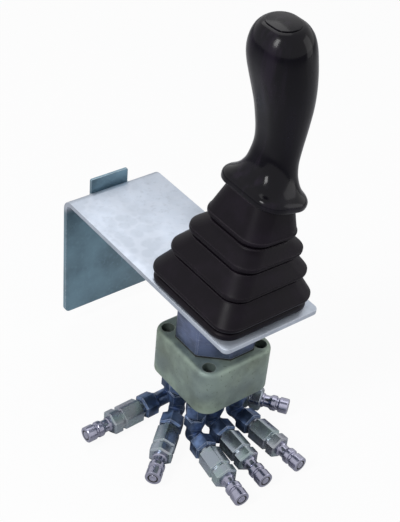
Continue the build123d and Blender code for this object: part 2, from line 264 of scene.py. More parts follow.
# ---- finishes ----
def zinc_sheet_finish():
    f = Finish("zinc_sheet_finish")
    c = colours()
    # Painted shade: drop marks the hanging leg below the bend and strip the hook strip behind the plate;
    # both take the darker blue leg colour.
    drop = f.step(f.height("Z"), 0.017, 0.004)
    strip = f.step(f.height("Y"), -0.0034, -0.0030)
    cloud = f.noise(16.0, 5.0)
    mottle = f.noise(220.0, 4.0)
    fine = f.noise(1400.0, 2.0)
    grain = f.cells(90.0)
    top = f.mix(tint(c.plate, 0.88), tint(c.plate, 1.14), f.step(cloud, 0.35, 0.65))
    top = f.mix(top, tint(c.plate, 0.80), f.step(mottle, 0.52, 0.72) * 0.45)
    top = f.mix(top, (0.60, 0.64, 0.72), f.step(grain, 0.45, 0.7) * 0.25)
    leg = f.mix(tint(c.plate_leg, 0.8), tint(c.plate_leg, 1.35), f.step(cloud, 0.35, 0.65))
    leg = f.mix(leg, tint(c.plate_leg, 1.6), f.step(mottle, 0.5, 0.75) * 0.4)
    scratch = f.noise(60.0, 2.0, f.stretched(1.0, 30.0, 30.0))
    wear_and_sheen = f.sharp_edge_mask(0.0008)
    base = f.mix(top, leg, f.step(drop + strip, 0.0, 1.0))
    base = f.mix(base, (0.72, 0.75, 0.80), wear_and_sheen * 0.8)
    f.set(Base_Color=base, Metallic=0.72)
    f.set(Roughness=f.step(cloud, 0.3, 0.7, 0.27, 0.37) + mottle * 0.10 + wear_and_sheen * -0.1)
    f.bump(mottle * 0.5 + fine * 0.25 + f.step(scratch, 0.6, 0.8) * 0.2, 0.00009, 0.6)
    return f.material


def boot_rubber_finish():
    f = Finish("boot_rubber_finish")
    c = colours()
    dust = f.noise(30.0, 5.0)
    pores = f.noise(900.0, 3.0)
    orange = f.cells(420.0)
    base = f.mix(c.rubber, tint(c.rubber, 2.1), f.step(dust, 0.45, 0.75))
    base = f.mix(base, (0.026, 0.022, 0.030), f.step(pores, 0.62, 0.8) * 0.25)
    # Painted highlight: on the boot the lighter colour on sharp edges paints thin highlights along the
    # fold rims.
    wear_and_sheen = f.sharp_edge_mask(0.0015)
    base = f.mix(base, (0.060, 0.052, 0.062), wear_and_sheen * 0.7)
    f.set(Base_Color=base, Metallic=0.0, Specular_IOR_Level=0.12)
    f.set(Roughness=f.step(dust, 0.3, 0.7, 0.36, 0.48))
    f.bump(pores * 0.5 + orange * 0.5, 0.00012, 0.5)
    return f.material


def grip_finish():
    f = Finish("grip_plastic_finish")
    c = colours()
    haze = f.noise(24.0, 4.0, f.stretched(1.0, 1.0, 0.35))
    fine = f.noise(700.0, 2.0)
    hair = f.noise(180.0, 2.0, f.stretched(8.0, 8.0, 1.0))
    # Painted highlight: lighter streaks along the grip's length stand in for the long reflection of the
    # lamps down the gloss moulding.
    sheen_streak = f.noise(55.0, 3.0, f.stretched(1.0, 1.0, 0.08))
    base = f.mix(c.grip, tint(c.grip, 2.2), f.step(haze, 0.45, 0.8))
    base = f.mix(base, (0.016, 0.011, 0.022), f.step(sheen_streak, 0.52, 0.68) * 0.7)
    f.set(Base_Color=base, Metallic=0.0, Coat_Weight=0.06)
    f.set(Coat_Roughness=0.06, Specular_IOR_Level=0.14)
    f.set(Roughness=f.step(haze, 0.35, 0.7, 0.12, 0.24) + f.step(hair, 0.6, 0.75) * 0.08 + f.step(sheen_streak, 0.5, 0.7) * 0.10)
    f.bump(fine * 0.6 + haze * 0.4, 0.00006, 0.35)
    return f.material


def housing_finish():
    f = Finish("housing_zinc_finish")
    c = colours()
    cloud = f.noise(40.0, 5.0)
    turning = f.noise(120.0, 2.0, f.stretched(1.0, 1.0, 14.0))
    pits = f.cells(520.0)
    base = f.mix(tint(c.housing, 0.72), tint(c.housing, 1.5), f.step(cloud, 0.35, 0.7))
    base = f.mix(base, (0.34, 0.38, 0.48), f.step(turning, 0.55, 0.75) * 0.35)
    wear_and_sheen = f.sharp_edge_mask(0.0009)
    base = f.mix(base, (0.55, 0.58, 0.66), wear_and_sheen * 0.7)
    f.set(Base_Color=base, Metallic=0.65)
    f.set(Roughness=f.step(cloud, 0.3, 0.7, 0.34, 0.5))
    f.bump(turning * 0.5 + pits * 0.3 + cloud * 0.2, 0.00015, 0.5)
    return f.material


def casting_finish():
    f = Finish("body_casting_finish")
    c = colours()
    cloud = f.noise(26.0, 6.0)
    drift = f.noise(9.0, 3.0)
    sand = f.noise(420.0, 4.0, rough=0.7)
    pits = f.cells(150.0)
    specks = f.noise(330.0, 2.0)
    base = f.mix(tint(c.casting, 0.65), tint(c.casting, 1.45), f.step(cloud, 0.35, 0.68))
    base = f.mix(base, (0.29, 0.27, 0.20), f.step(drift, 0.52, 0.7) * 0.45)
    base = f.mix(base, (0.16, 0.21, 0.25), f.step(drift, 0.45, 0.3) * 0.45)
    hole = f.step(pits, 0.20, 0.08) * f.step(drift, 0.42, 0.60)
    base = f.mix(base, (0.045, 0.05, 0.048), hole * 0.85)
    base = f.mix(base, tint(c.casting, 0.4), f.step(specks, 0.64, 0.72) * 0.6)
    wear_and_sheen = f.sharp_edge_mask(0.0012)
    base = f.mix(base, (0.45, 0.48, 0.42), wear_and_sheen * 0.6)
    f.set(Base_Color=base, Metallic=0.5)
    f.set(Roughness=f.step(cloud, 0.3, 0.7, 0.42, 0.6))
    f.bump(sand * 0.8 - hole * 1.2 + cloud * 0.4, 0.00028, 0.7)
    return f.material


def blue_zinc_finish():
    f = Finish("blue_zinc_finish")
    c = colours()
    cloud = f.noise(70.0, 4.0)
    lathe = f.noise(500.0, 2.0)
    base = f.mix(tint(c.nuts, 0.7), tint(c.nuts, 2.0), f.step(cloud, 0.4, 0.7))
    wear_and_sheen = f.sharp_edge_mask(0.0009)
    base = f.mix(base, (0.42, 0.48, 0.60), wear_and_sheen * 0.75)
    f.set(Base_Color=base, Metallic=0.7)
    f.set(Roughness=f.step(cloud, 0.3, 0.7, 0.28, 0.42))
    f.bump(lathe * 0.6 + cloud * 0.4, 0.00008, 0.5)
    return f.material


def bright_zinc_finish():
    f = Finish("bright_zinc_finish")
    c = colours()
    cloud = f.noise(55.0, 3.0)
    drift = f.noise(38.0, 2.0)
    fine = f.noise(800.0, 2.0)
    green = f.step(cloud, 0.45, 0.62)
    pink = f.step(drift, 0.50, 0.66)
    base = f.mix(c.bright, (0.27, 0.39, 0.34), green * 0.40)
    base = f.mix(base, (0.41, 0.33, 0.41), pink * 0.35)
    wear_and_sheen = f.sharp_edge_mask(0.0008)
    base = f.mix(base, (0.70, 0.72, 0.73), wear_and_sheen * 0.6)
    f.set(Base_Color=base, Metallic=0.9)
    f.set(Roughness=f.step(cloud, 0.3, 0.7, 0.16, 0.28) + fine * 0.06)
    f.bump(fine, 0.000015, 0.3)
    return f.material


def nickel_finish():
    f = Finish("nickel_plate_finish")
    c = colours()
    cloud = f.noise(90.0, 3.0)
    fine = f.noise(1200.0, 2.0)
    base = f.mix(c.nickel, tint(c.nickel, 1.2), f.step(cloud, 0.4, 0.65))
    base = f.mix(base, tint(c.nickel, 0.6), f.step(fine, 0.6, 0.75) * 0.3)
    f.set(Base_Color=base, Metallic=0.95)
    f.set(Roughness=f.step(cloud, 0.3, 0.7, 0.15, 0.26))
    f.bump(fine, 0.00001, 0.25)
    return f.material


def steel_finish():
    f = Finish("plain_steel_finish")
    cloud = f.noise(60.0, 3.0)
    ground = f.noise(300.0, 2.0, f.stretched(1.0, 1.0, 12.0))
    base = f.mix((0.36, 0.36, 0.37), (0.55, 0.55, 0.56), f.step(cloud, 0.35, 0.65))
    f.set(Base_Color=base, Metallic=0.95)
    f.set(Roughness=f.step(ground, 0.3, 0.7, 0.22, 0.34))
    f.bump(ground, 0.00005, 0.5)
    return f.material


def black_steel_finish():
    f = Finish("black_steel_finish")
    cloud = f.noise(160.0, 3.0)
    wear_and_sheen = f.sharp_edge_mask(0.0005)
    base = f.mix((0.022, 0.022, 0.024), (0.05, 0.05, 0.055), f.step(cloud, 0.4, 0.65))
    base = f.mix(base, (0.22, 0.22, 0.24), wear_and_sheen * 0.6)
    f.set(Base_Color=base, Metallic=0.6)
    f.set(Roughness=f.step(cloud, 0.3, 0.7, 0.32, 0.48))
    f.bump(cloud, 0.00006, 0.5)
    return f.material


def seal_finish():
    f = Finish("seal_rubber_finish")
    cloud = f.noise(200.0, 3.0)
    base = f.mix((0.012, 0.012, 0.013), (0.03, 0.03, 0.032), f.step(cloud, 0.4, 0.65))
    f.set(Base_Color=base, Metallic=0.0)
    f.set(Roughness=f.step(cloud, 0.3, 0.7, 0.45, 0.6))
    f.bump(cloud, 0.00005, 0.5)
    return f.material


def bronze_finish():
    f = Finish("bush_bronze_finish")
    cloud = f.noise(120.0, 3.0)
    base = f.mix((0.42, 0.27, 0.12), (0.60, 0.42, 0.20), f.step(cloud, 0.35, 0.65))
    f.set(Base_Color=base, Metallic=0.95)
    f.set(Roughness=f.step(cloud, 0.3, 0.7, 0.28, 0.4))
    f.bump(cloud, 0.00005, 0.5)
    return f.material


FINISHES = {
    "zinc_sheet": zinc_sheet_finish,
    "boot_rubber": boot_rubber_finish,
    "grip_plastic": grip_finish,
    "housing_zinc": housing_finish,
    "body_casting": casting_finish,
    "blue_zinc": blue_zinc_finish,
    "bright_zinc": bright_zinc_finish,
    "nickel_plate": nickel_finish,
    "plain_steel": steel_finish,
    "black_steel": black_steel_finish,
    "seal_rubber": seal_finish,
    "bush_bronze": bronze_finish,
}


def finish(slot):
    """The worked-out material of a slot; the loaded frame has flat ones under the slots' own names"""
    return bpy.data.materials.get(slot + "_finish") or FINISHES[slot]()


# ---- mesh helpers ----
def keep(bm, name, slot, body, flat_angle=35.0):
    """Makes the bmesh an object that rides a body, smooth except over sharp edges."""
    bmesh.ops.remove_doubles(bm, verts=bm.verts, dist=1e-6)
    bmesh.ops.recalc_face_normals(bm, faces=bm.faces)
    limit = math.radians(flat_angle)
    for face in bm.faces:
        face.smooth = True
    for edge in bm.edges:
        edge.smooth = len(edge.link_faces) == 2 and edge.calc_face_angle() < limit
    mesh = bpy.data.meshes.new(name)
    bm.to_mesh(mesh)
    bm.free()
    mesh.materials.append(finish(slot))
    piece = bpy.data.objects.new(name, mesh)
    bpy.context.scene.collection.objects.link(piece)
    if body:
        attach(piece, body)
    return piece


def sharp_edges(bm, angle=30.0):
    limit = math.radians(angle)
    return [e for e in bm.edges if len(e.link_faces) == 2 and e.calc_face_angle() > limit]


def bevel(bm, edges, size, segments=2):
    bmesh.ops.bevel(
        bm, geom=edges, offset=size, segments=segments, profile=0.5, affect="EDGES", material=-1
    )


def spun(bm, outline, place, steps=48):
    """Turns (radius, height) points, in millimetres, once round Z and puts the result in place."""
    points = [bm.verts.new((r * MM, 0.0, z * MM)) for r, z in outline]
    edges = [bm.edges.new(pair) for pair in zip(points, points[1:])]
    made = set(bm.verts) - set(points)
    before = set(bm.verts) - set(points)
    bmesh.ops.spin(
        bm, geom=points + edges, cent=(0, 0, 0), axis=(0, 0, 1), dvec=(0, 0, 0),
        angle=math.tau, steps=steps, use_merge=True, use_duplicate=False,
    )
    fresh = [v for v in bm.verts if v not in before]
    bmesh.ops.remove_doubles(bm, verts=fresh, dist=1e-6)
    fresh = [v for v in bm.verts if v not in before]
    bmesh.ops.transform(bm, matrix=place, verts=fresh)
    return fresh


def hexagon(bm, flats, z0, z1, place, chamfer=1.0):
    """A hexagon bar along Z with chamfered ends and slightly broken corners."""
    start = set(bm.verts)
    half = flats * MM / 2
    radius = half / math.cos(math.pi / 6)
    bmesh.ops.create_cone(
        bm, cap_ends=True, cap_tris=False, segments=6, radius1=radius, radius2=radius,
        depth=(z1 - z0) * MM, matrix=Matrix.Translation((0, 0, (z0 + z1) / 2 * MM)),
    )
    fresh = [v for v in bm.verts if v not in start]
    edges = {e for v in fresh for e in v.link_edges}
    upright = [e for e in edges if abs(e.verts[0].co.z - e.verts[1].co.z) > 1e-5]
    bevel(bm, upright, 0.35 * MM, 2)
    fresh = [v for v in bm.verts if v not in start]
    edges = {e for v in fresh for e in v.link_edges}
    rims = [e for e in edges if abs(e.verts[0].co.z - e.verts[1].co.z) < 1e-6]
    bevel(bm, rims, chamfer * MM, 1)
    fresh = [v for v in bm.verts if v not in start]
    # Pull the end faces' corners in to a circle, as a turned chamfer does.
    for v in fresh:
        out = v.co.xy.length
        at_end = min(abs(v.co.z - z0 * MM), abs(v.co.z - z1 * MM)) < 1e-6
        if at_end and out > half - 0.3 * MM:
            v.co.xy *= (half - 0.3 * MM) / out
    bmesh.ops.transform(bm, matrix=place, verts=fresh)
    return fresh


def leg_place(leg):
    foot = Vector((leg[0], leg[1], 0)) * MM
    tip = Vector((leg[2], leg[3], 0)) * MM
    along = (foot - tip).normalized()
    side = Vector((0, 0, 1)).cross(along)
    turn = Matrix((side, Vector((0, 0, 1)), along)).transposed().to_4x4()
    if turn.determinant() < 0:
        turn = Matrix((-side, Vector((0, 0, 1)), along)).transposed().to_4x4()
    reach = (foot - tip).length / MM
    tip.z = -sizes().leg_drop
    return Matrix.Translation(tip) @ turn, reach


def rounded_ring(bm, half_x, half_y, corner, place, per_corner=10):
    """A loop of vertices round a rectangle with round corners."""
    loop = []
    for quarter in range(4):
        sx = (1, -1, -1, 1)[quarter]
        sy = (1, 1, -1, -1)[quarter]
        for i in range(per_corner + 1):
            angle = math.pi / 2 * (quarter + i / per_corner)
            x = sx * (half_x - corner) + corner * math.cos(angle)
            y = sy * (half_y - corner) + corner * math.sin(angle)
            loop.append(bm.verts.new(place @ Vector((x, y, 0))))
    return [bm.edges.new((loop[i], loop[(i + 1) % len(loop)])) for i in range(len(loop))]


def between(rows, share):
    """Smoothly reads a row from a table at a share from 0 to 1 of its length (Catmull-Rom)."""
    at = share * (len(rows) - 1)
    i = min(int(at), len(rows) - 2)
    t = at - i
    a, b = rows[max(i - 1, 0)], rows[i]
    c, d = rows[i + 1], rows[min(i + 2, len(rows) - 1)]
    out = []
    for p, q, r, s in zip(a, b, c, d):
        out.append(
            q + 0.5 * t * (r - p + t * (2 * p - 5 * q + 4 * r - s + t * (3 * (q - r) + s - p)))
        )
    return out


def skin(bm, rows, first, last, count, inset=0.0):
    """Bridges rings read from rows of (half x, half y, corner, x, y, z, tilt), in millimetres."""
    rings = []
    for i in range(count + 1):
        share = first + (last - first) * i / count
        half_x, half_y, corner, x, y, z, tilt = between(rows, share)
        corner = min(corner, half_x - 0.5, half_y - 0.5) - inset
        place = Matrix.Translation(Vector((x, y, z)) * MM)
        place = place @ Matrix.Rotation(math.radians(tilt), 4, "Y")
        ring = rounded_ring(bm, (half_x - inset) * MM, (half_y - inset) * MM, corner * MM, place)
        rings.append(ring)
    for low, high in zip(rings, rings[1:]):
        bmesh.ops.bridge_loops(bm, edges=low + high)
    return rings


# ---- pieces ----
class JOYSTICK_OT_bracket(bpy.types.Operator):
    """Bend the sheet bracket and weld the hook strip to it"""

    bl_idname = "joystick.bracket"
    bl_label = "Bracket"

    def execute(self, context):
        s = sizes()
        low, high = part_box("bracket_plate")
        bm = bmesh.new()
        back = high.y
        inner = s.bend - s.sheet
        outline = [(back, low.z)]
        for i in range(13):
            angle = math.pi / 2 * i / 12
            y = back - s.bend + s.bend * math.cos(angle)
            outline.append((y, high.z - s.bend + s.bend * math.sin(angle)))
        outline += [(low.y, high.z), (low.y, high.z - s.sheet)]
        for i in range(13):
            angle = math.pi / 2 * (1 - i / 12)
            y = back - s.bend + inner * math.cos(angle)
            outline.append((y, high.z - s.bend + inner * math.sin(angle)))
        outline.append((back - s.sheet, low.z))
        side = bm.faces.new([bm.verts.new((low.x, y, z)) for y, z in outline])
        moved = bmesh.ops.extrude_face_region(bm, geom=[side])["geom"]
        verts = [g for g in moved if isinstance(g, bmesh.types.BMVert)]
        bmesh.ops.translate(bm, vec=(high.x - low.x, 0, 0), verts=verts)
        bmesh.ops.recalc_face_normals(bm, faces=bm.faces)
        corners = []
        for e in bm.edges:
            mid = (e.verts[0].co + e.verts[1].co) / 2
            run = e.verts[1].co - e.verts[0].co
            if abs(run.x) > 1e-5:
                continue
            if mid.y < low.y + 1e-5 or mid.z < low.z + 1e-5:
                corners.append(e)
        bevel(bm, corners, 6.0 * MM, 6)
        bevel(bm, sharp_edges(bm, 40.0), s.edge, 2)
        plate = keep(bm, "bracket_plate_bent", "zinc_sheet", "base", 30.0)
        bore(plate, Vector((0.0, STICK.y, high.z)), s.neck_hole)
        for centre in solid_centres("shelf_screws"):
            bore(plate, Vector((centre.x, centre.y, high.z)), s.screw_hole)
        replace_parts(plate, "bracket_plate")

        low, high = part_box("hook_strip")
        bm = bmesh.new()
        bmesh.ops.create_cube(bm, size=1.0)
        bmesh.ops.scale(bm, vec=high - low, verts=bm.verts)
        bmesh.ops.translate(bm, vec=(low + high) / 2, verts=bm.verts)
        upright = [e for e in bm.edges if abs(e.verts[0].co.y - e.verts[1].co.y) > 1e-5]
        bevel(bm, upright, 2.0 * MM, 4)
        bevel(bm, sharp_edges(bm), s.edge, 2)
        strip = keep(bm, "hook_strip_cut", "zinc_sheet", "base")
        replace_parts(strip, "hook_strip")

        bm = bmesh.new()
        for side_x in (low.x, high.x):
            for z0 in (low.z + 0.006, low.z + 0.034):
                bead(bm, Vector((side_x, back, z0)), 0.020, 0.0016)
        keep(bm, "weld_beads", "bright_zinc", "base", 60.0)
        return {"FINISHED"}


def solid_centres(node):
    """The middle of each separate solid of a CAD node, read from a merged copy of its mesh"""
    bm = bmesh.new()
    bm.from_mesh(frame["nodes"][node].data)
    bmesh.ops.remove_doubles(bm, verts=bm.verts, dist=1e-6)
    left = set(bm.verts)
    centres = []
    while left:
        group = {left.pop()}
        edge = set(group)
        while edge:
            edge = {e.other_vert(v) for v in edge for e in v.link_edges} - group
            group |= edge
        left -= group
        corners = [[f(v.co[i] for v in group) for i in range(3)] for f in (min, max)]
        centres.append((Vector(corners[0]) + Vector(corners[1])) / 2)
    bm.free()
    return centres


def bore(piece, centre, radius):
    """Cuts a round hole right through a piece along Z"""
    bm = bmesh.new()
    bmesh.ops.create_cone(
        bm, cap_ends=True, cap_tris=False, segments=64, radius1=radius, radius2=radius,
        depth=0.03, matrix=Matrix.Translation(centre),
    )
    mesh = bpy.data.meshes.new("cutter")
    bm.to_mesh(mesh)
    bm.free()
    cutter = bpy.data.objects.new("cutter", mesh)
    bpy.context.scene.collection.objects.link(cutter)
    cut = piece.modifiers.new("bore", "BOOLEAN")
    cut.operation = "DIFFERENCE"
    cut.solver = "EXACT"
    cut.object = cutter
    seen = piece.evaluated_get(bpy.context.evaluated_depsgraph_get())
    made = bpy.data.meshes.new_from_object(seen)
    piece.modifiers.clear()
    if len(made.polygons) <= len(piece.data.polygons):
        raise RuntimeError("the hole was not cut in " + piece.name)
    piece.data = made
    bpy.data.objects.remove(cutter)


def bead(bm, start, run, radius):
    """A weld bead that ripples along Z"""
    before = set(bm.verts)
    rings = 40
    for i in range(rings):
        share = i / (rings - 1)
        ripple = 1.0 + 0.12 * math.sin(share * math.tau * 9)
        size = radius * ripple * math.sqrt(max(0.02, 1 - (2 * share - 1) ** 8))
        place = Matrix.Translation((0, 0, share * run))
        bmesh.ops.create_circle(bm, cap_ends=i in (0, rings - 1), segments=12, radius=size, matrix=place)
    fresh = [v for v in bm.verts if v not in before]
    by_height = {}
    for v in fresh:
        by_height.setdefault(round(v.co.z, 6), []).append(v)
    loops = []
    for z in sorted(by_height):
        ring = set(by_height[z])
        loops.append([e for e in {e for v in ring for e in v.link_edges} if set(e.verts) <= ring])
    for one, other in zip(loops, loops[1:]):
        bmesh.ops.bridge_loops(bm, edges=one + other)
    bmesh.ops.translate(bm, vec=start, verts=fresh)


# Each fold of the boot: (height of its rim, half width, half depth), in millimetres.
BOOT_FOLDS = [(37.5, 54.2, 61.2), (62.2, 46.6, 53.6), (84.0, 38.8, 46.3), (102.5, 30.6, 39.0)]
# The outline round each rim: (height above the rim, how far it lies inside the rim).
FOLD_OUTLINE = [
    (-8.0, 2.3), (-6.3, 2.9), (-5.6, 4.6), (-4.6, 5.0), (-3.6, 4.0), (-2.9, 1.6), (-1.8, 0.4),
    (0.0, 0.0), (1.6, 0.3), (3.2, 1.1),
]
BOOT_FOOT = (53.0, 59.0, 30.0)
BOOT_NECK = (24.0, 31.0, 128.6)
BOOT_CORNER = 18.0


def boot_rows():
    """Rows of (half x, half y, corner, centre x, centre y, height, tilt) up the boot"""
    foot_x, foot_y, foot_z = BOOT_FOOT
    neck_x, neck_y, neck_z = BOOT_NECK
    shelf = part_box("rubber_boot")[0].z / MM
    levels = [(shelf, foot_x - 0.8, foot_y - 0.8), (shelf + 0.8, foot_x, foot_y)]
    levels += [(foot_z - 0.9, foot_x, foot_y)]
    for rim, half_x, half_y in BOOT_FOLDS:
        for rise, inside in FOLD_OUTLINE:
            if rim + rise > foot_z:
                levels.append((rim + rise, half_x - inside, half_y - inside))
    levels.append((neck_z, neck_x, neck_y))
    rows = []
    for z, half_x, half_y in levels:
        share = max(0.0, (z - foot_z) / (neck_z - foot_z))
        x = 22.0 * share**1.15
        y = STICK.y / MM - 3.0 * share
        rows.append((half_x, half_y, BOOT_CORNER, x, y, z, 13.0 * share**3))
    return rows


class JOYSTICK_OT_boot(bpy.types.Operator):
    """Mould the bellows boot in two parts that meet in one of its folds"""

    bl_idname = "joystick.boot"
    bl_label = "Boot"

    def execute(self, context):
        rows = boot_rows()
        middle = [row[5] for row in rows].index(BOOT_FOLDS[2][0] + FOLD_OUTLINE[3][0])
        share = middle / (len(rows) - 1)
        split = rows[middle][5] * MM
        halves = [
            ("boot_lower", 0.0, share, "base", "cross", 0.0300, split),
            ("boot_upper", share, 1.0, "cross", "lever", split, 0.1260),
        ]
        for name, first, last, one, other, start, end in halves:
            bm = bmesh.new()
            rings = round((last - first) * (len(rows) - 1)) * 5
            outer = skin(bm, rows, first, last, rings)
            inner = skin(bm, rows, first, last, rings, inset=sizes().rubber / MM)
            bmesh.ops.bridge_loops(bm, edges=outer[0] + inner[0])
            bmesh.ops.bridge_loops(bm, edges=outer[-1] + inner[-1])
            piece = keep(bm, name, "boot_rubber", None, 60.0)
            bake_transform(piece)
            if name == "boot_lower":
                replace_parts(piece, "rubber_boot")
        return {"FINISHED"}


# Rows of (half x, half y, corner, centre x, centre y, height, tilt), in millimetres.
GRIP_ROWS = [
    (27.0, 38.0, 21.0, 25.0, -206.0, 128.2, 13.0),
    (29.0, 40.0, 22.0, 25.2, -206.0, 129.4, 13.0),
    (29.6, 40.6, 22.5, 26.0, -206.0, 132.0, 13.0),
    (29.4, 40.4, 22.5, 26.6, -206.0, 135.0, 13.0),
    (28.0, 38.6, 22.0, 27.0, -206.0, 138.0, 13.0),
    (24.5, 33.5, 20.5, 28.2, -206.0, 142.0, 13.0),
    (21.8, 28.8, 19.0, 29.8, -206.0, 147.5, 12.0),
    (19.6, 25.4, 18.2, 32.0, -205.5, 155.0, 10.5),
    (18.5, 23.5, 17.8, 34.2, -205.0, 165.0, 9.0),
    (18.0, 23.0, 17.6, 36.4, -205.0, 177.0, 6.0),
    (18.8, 23.8, 18.2, 37.6, -204.8, 190.0, 2.5),
    (20.6, 25.4, 20.0, 38.0, -204.4, 204.0, -1.0),
    (22.8, 27.3, 22.2, 37.6, -204.0, 220.0, -4.0),
    (24.9, 29.1, 24.3, 36.0, -203.2, 236.0, -6.5),
    (26.6, 30.4, 26.0, 33.6, -202.2, 252.0, -8.5),
    (27.5, 31.0, 26.9, 31.2, -201.2, 266.0, -9.0),
    (27.2, 30.7, 26.6, 29.6, -200.6, 277.0, -8.5),
    (25.2, 28.8, 24.7, 28.8, -200.3, 287.0, -7.5),
    (21.6, 25.4, 21.1, 28.5, -200.0, 294.5, -6.0),
    (17.6, 21.4, 16.8, 28.5, -200.0, 299.2, -5.0),
    (14.6, 18.4, 13.6, 28.5, -200.0, 300.9, -5.0),
]
# The rows are drawn for a taller grip standing at the same height.
GRIP_FOOT_Z = 128.0
GRIP_SHORTER = 162.0 / 173.0


def grip_rows():
    """The grip's rows with their heights brought down to the real grip's"""
    rows = []
    for row in GRIP_ROWS:
        height = GRIP_FOOT_Z + (row[5] - GRIP_FOOT_Z) * GRIP_SHORTER
        rows.append(row[:5] + (height, row[6]))
    return rows



class JOYSTICK_OT_grip(bpy.types.Operator):
    """Mould the grip with its foot flange and the flat cap in its top"""

    bl_idname = "joystick.grip"
    bl_label = "Grip"

    def execute(self, context):
        bm = bmesh.new()
        rings = skin(bm, grip_rows(), 0.0, 1.0, 150)
        bmesh.ops.holes_fill(bm, edges=rings[0], sides=0)
        bmesh.ops.holes_fill(bm, edges=rings[-1], sides=0)
        piece = keep(bm, "grip_moulding", "grip_plastic", "lever", 50.0)
        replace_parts(piece, "grip")

        half_x, half_y, corner, x, y, z, tilt = grip_rows()[-1]
        place = Matrix.Translation(Vector((x, y, z)) * MM)
        place = place @ Matrix.Rotation(math.radians(tilt), 4, "Y")
        bm = bmesh.new()
        base = rounded_ring(bm, 0.0130, 0.0168, 0.0124, Matrix.Translation((0, 0, -0.0006)))
        lid = bmesh.ops.holes_fill(bm, edges=base, sides=0)["faces"]
        raised = bmesh.ops.extrude_face_region(bm, geom=lid)["geom"]
        verts = [g for g in raised if isinstance(g, bmesh.types.BMVert)]
        bmesh.ops.translate(bm, vec=(0, 0, 0.0018), verts=verts)
        bmesh.ops.recalc_face_normals(bm, faces=bm.faces)
        bevel(bm, sharp_edges(bm, 40.0), 0.0005, 3)
        bmesh.ops.transform(bm, matrix=place, verts=bm.verts)
        cap = keep(bm, "grip_cap_disc", "grip_plastic", "lever")
        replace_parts(cap, "grip_cap")
        return {"FINISHED"}


class JOYSTICK_OT_legs(bpy.types.Operator):
    """Turn and mill the coupler legs: elbows, nuts, hexagons and nipples"""

    bl_idname = "joystick.legs"
    bl_label = "Coupler legs"

    def execute(self, context):
        s = sizes()
        r = s.nipple / MM
        flats = s.flats / MM
        groups = {key: bmesh.new() for key in ("adaptors", "nipples", "swivel_nuts", "rings")}
        for number, leg in enumerate(LEGS, 1):
            place, reach = leg_place(leg)
            nipple = [
                (5.3, 1.0), (5.3, 0.0), (7.2, 0.0), (7.7, 0.2), (r, 0.8), (r, 8.8), (7.7, 9.4),
                (6.7, 10.0), (6.5, 10.4), (6.5, 11.6), (6.7, 12.0), (7.7, 12.6), (r, 13.2),
                (r, 17.2), (7.6, 18.0), (6.5, 19.6), (6.2, 20.4), (6.2, 25.0), (7.4, 26.0),
                (7.4, 28.0),
            ]
            spun(groups["nipples"], nipple, place)
            hexagon(groups["adaptors"], flats, 28.0, 39.0, place, 1.3)
            neck = [(9.4, 38.6), (10.2, 39.2), (10.2, 40.2), (9.4, 40.8)]
            spun(groups["adaptors"], neck, place)
            hexagon(groups["adaptors"], flats, 40.5, 64.0, place, 1.3)
            collar = [(8.0, 63.5), (8.5, 64.0), (8.5, 66.8), (8.0, 67.2)]
            spun(groups["adaptors"], collar, place)
            hexagon(groups["swivel_nuts"], flats, 67.0, 83.0, place, 1.7)
            washer = [(4.05, 0.3), (4.25, 0.0), (5.1, 0.0), (5.3, 0.5)]
            spun(groups["rings"], washer, place)
            self.elbow(number, leg, place, reach)
        for key, bm in groups.items():
            slot = {"adaptors": "bright_zinc", "nipples": "nickel_plate", "swivel_nuts": "blue_zinc",
                    "rings": "seal_rubber"}[key]
            piece = keep(bm, "leg_" + key, slot, "base", 22.0)
            node = "nipple_seals" if key == "rings" else key
            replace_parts(piece, node)
        return {"FINISHED"}

    def elbow(self, number, leg, place, reach):
        """One elbow: its arm, its forged corner and its upright stem with a hexagon"""
        bm = bmesh.new()
        pipe = sizes().pipe / MM
        arm = [
            (6.0, 82.5), (8.6, 83.0), (8.6, 85.2), (8.2, 86.0), (pipe, 86.6), (pipe, reach - 2.0)
        ]
        spun(bm, arm, place)
        foot = Matrix.Translation((leg[0] * MM, leg[1] * MM, 0))
        corner = Matrix.Translation((leg[0] * MM, leg[1] * MM, -sizes().leg_drop))
        bmesh.ops.create_uvsphere(bm, u_segments=40, v_segments=24, radius=8.5 * MM, matrix=corner)
        stem = [(7.9, -133.0), (7.9, -121.6), (8.6, -121.0), (8.6, -107.0), (7.0, -106.4), (5.5, -106.0),
                (5.5, -90.0)]
        spun(bm, stem, foot)
        hexagon(bm, 19.0, -120.6, -107.0, foot, 1.1)
        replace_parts(keep(bm, "elbow_forged_%d" % number, "blue_zinc", "base"), "elbow_%d" % number)


class JOYSTICK_OT_poppets(bpy.types.Operator):
    """Turn the valve discs that sit in the nipples' faces"""

    bl_idname = "joystick.poppets"
    bl_label = "Poppets"

    def execute(self, context):
        for number, leg in enumerate(LEGS, 1):
            place, reach = leg_place(leg)
            bm = bmesh.new()
            disc = [
                (0.0, 0.25), (1.2, 0.25), (1.5, 0.05), (3.6, 0.0), (4.0, 0.4), (4.0, 5.0), (2.2, 5.4),
                (2.2, 9.0), (0.0, 9.0),
            ]
            spun(bm, disc, place)
            piece = keep(bm, "poppet_turned_%d" % number, "nickel_plate", "valve_%d" % number, 22.0)
            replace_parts(piece, "poppet_%d" % number)
        return {"FINISHED"}


class JOYSTICK_OT_springs(bpy.types.Operator):
    """Remake the return springs from their CAD coils, each pressed between the housing and its push rod
    """

    bl_idname = "joystick.springs"
    bl_label = "Springs"

    def execute(self, context):
        for number in range(1, 5):
            node = "return_spring_%d" % number
            bm = bmesh.new()
            bm.from_mesh(frame["nodes"][node].data)
            bmesh.ops.remove_doubles(bm, verts=bm.verts, dist=1e-6)
            piece = keep(bm, "spring_coil_%d" % number, "plain_steel", None, 60.0)
            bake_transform(piece)
            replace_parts(piece, node)
        return {"FINISHED"}


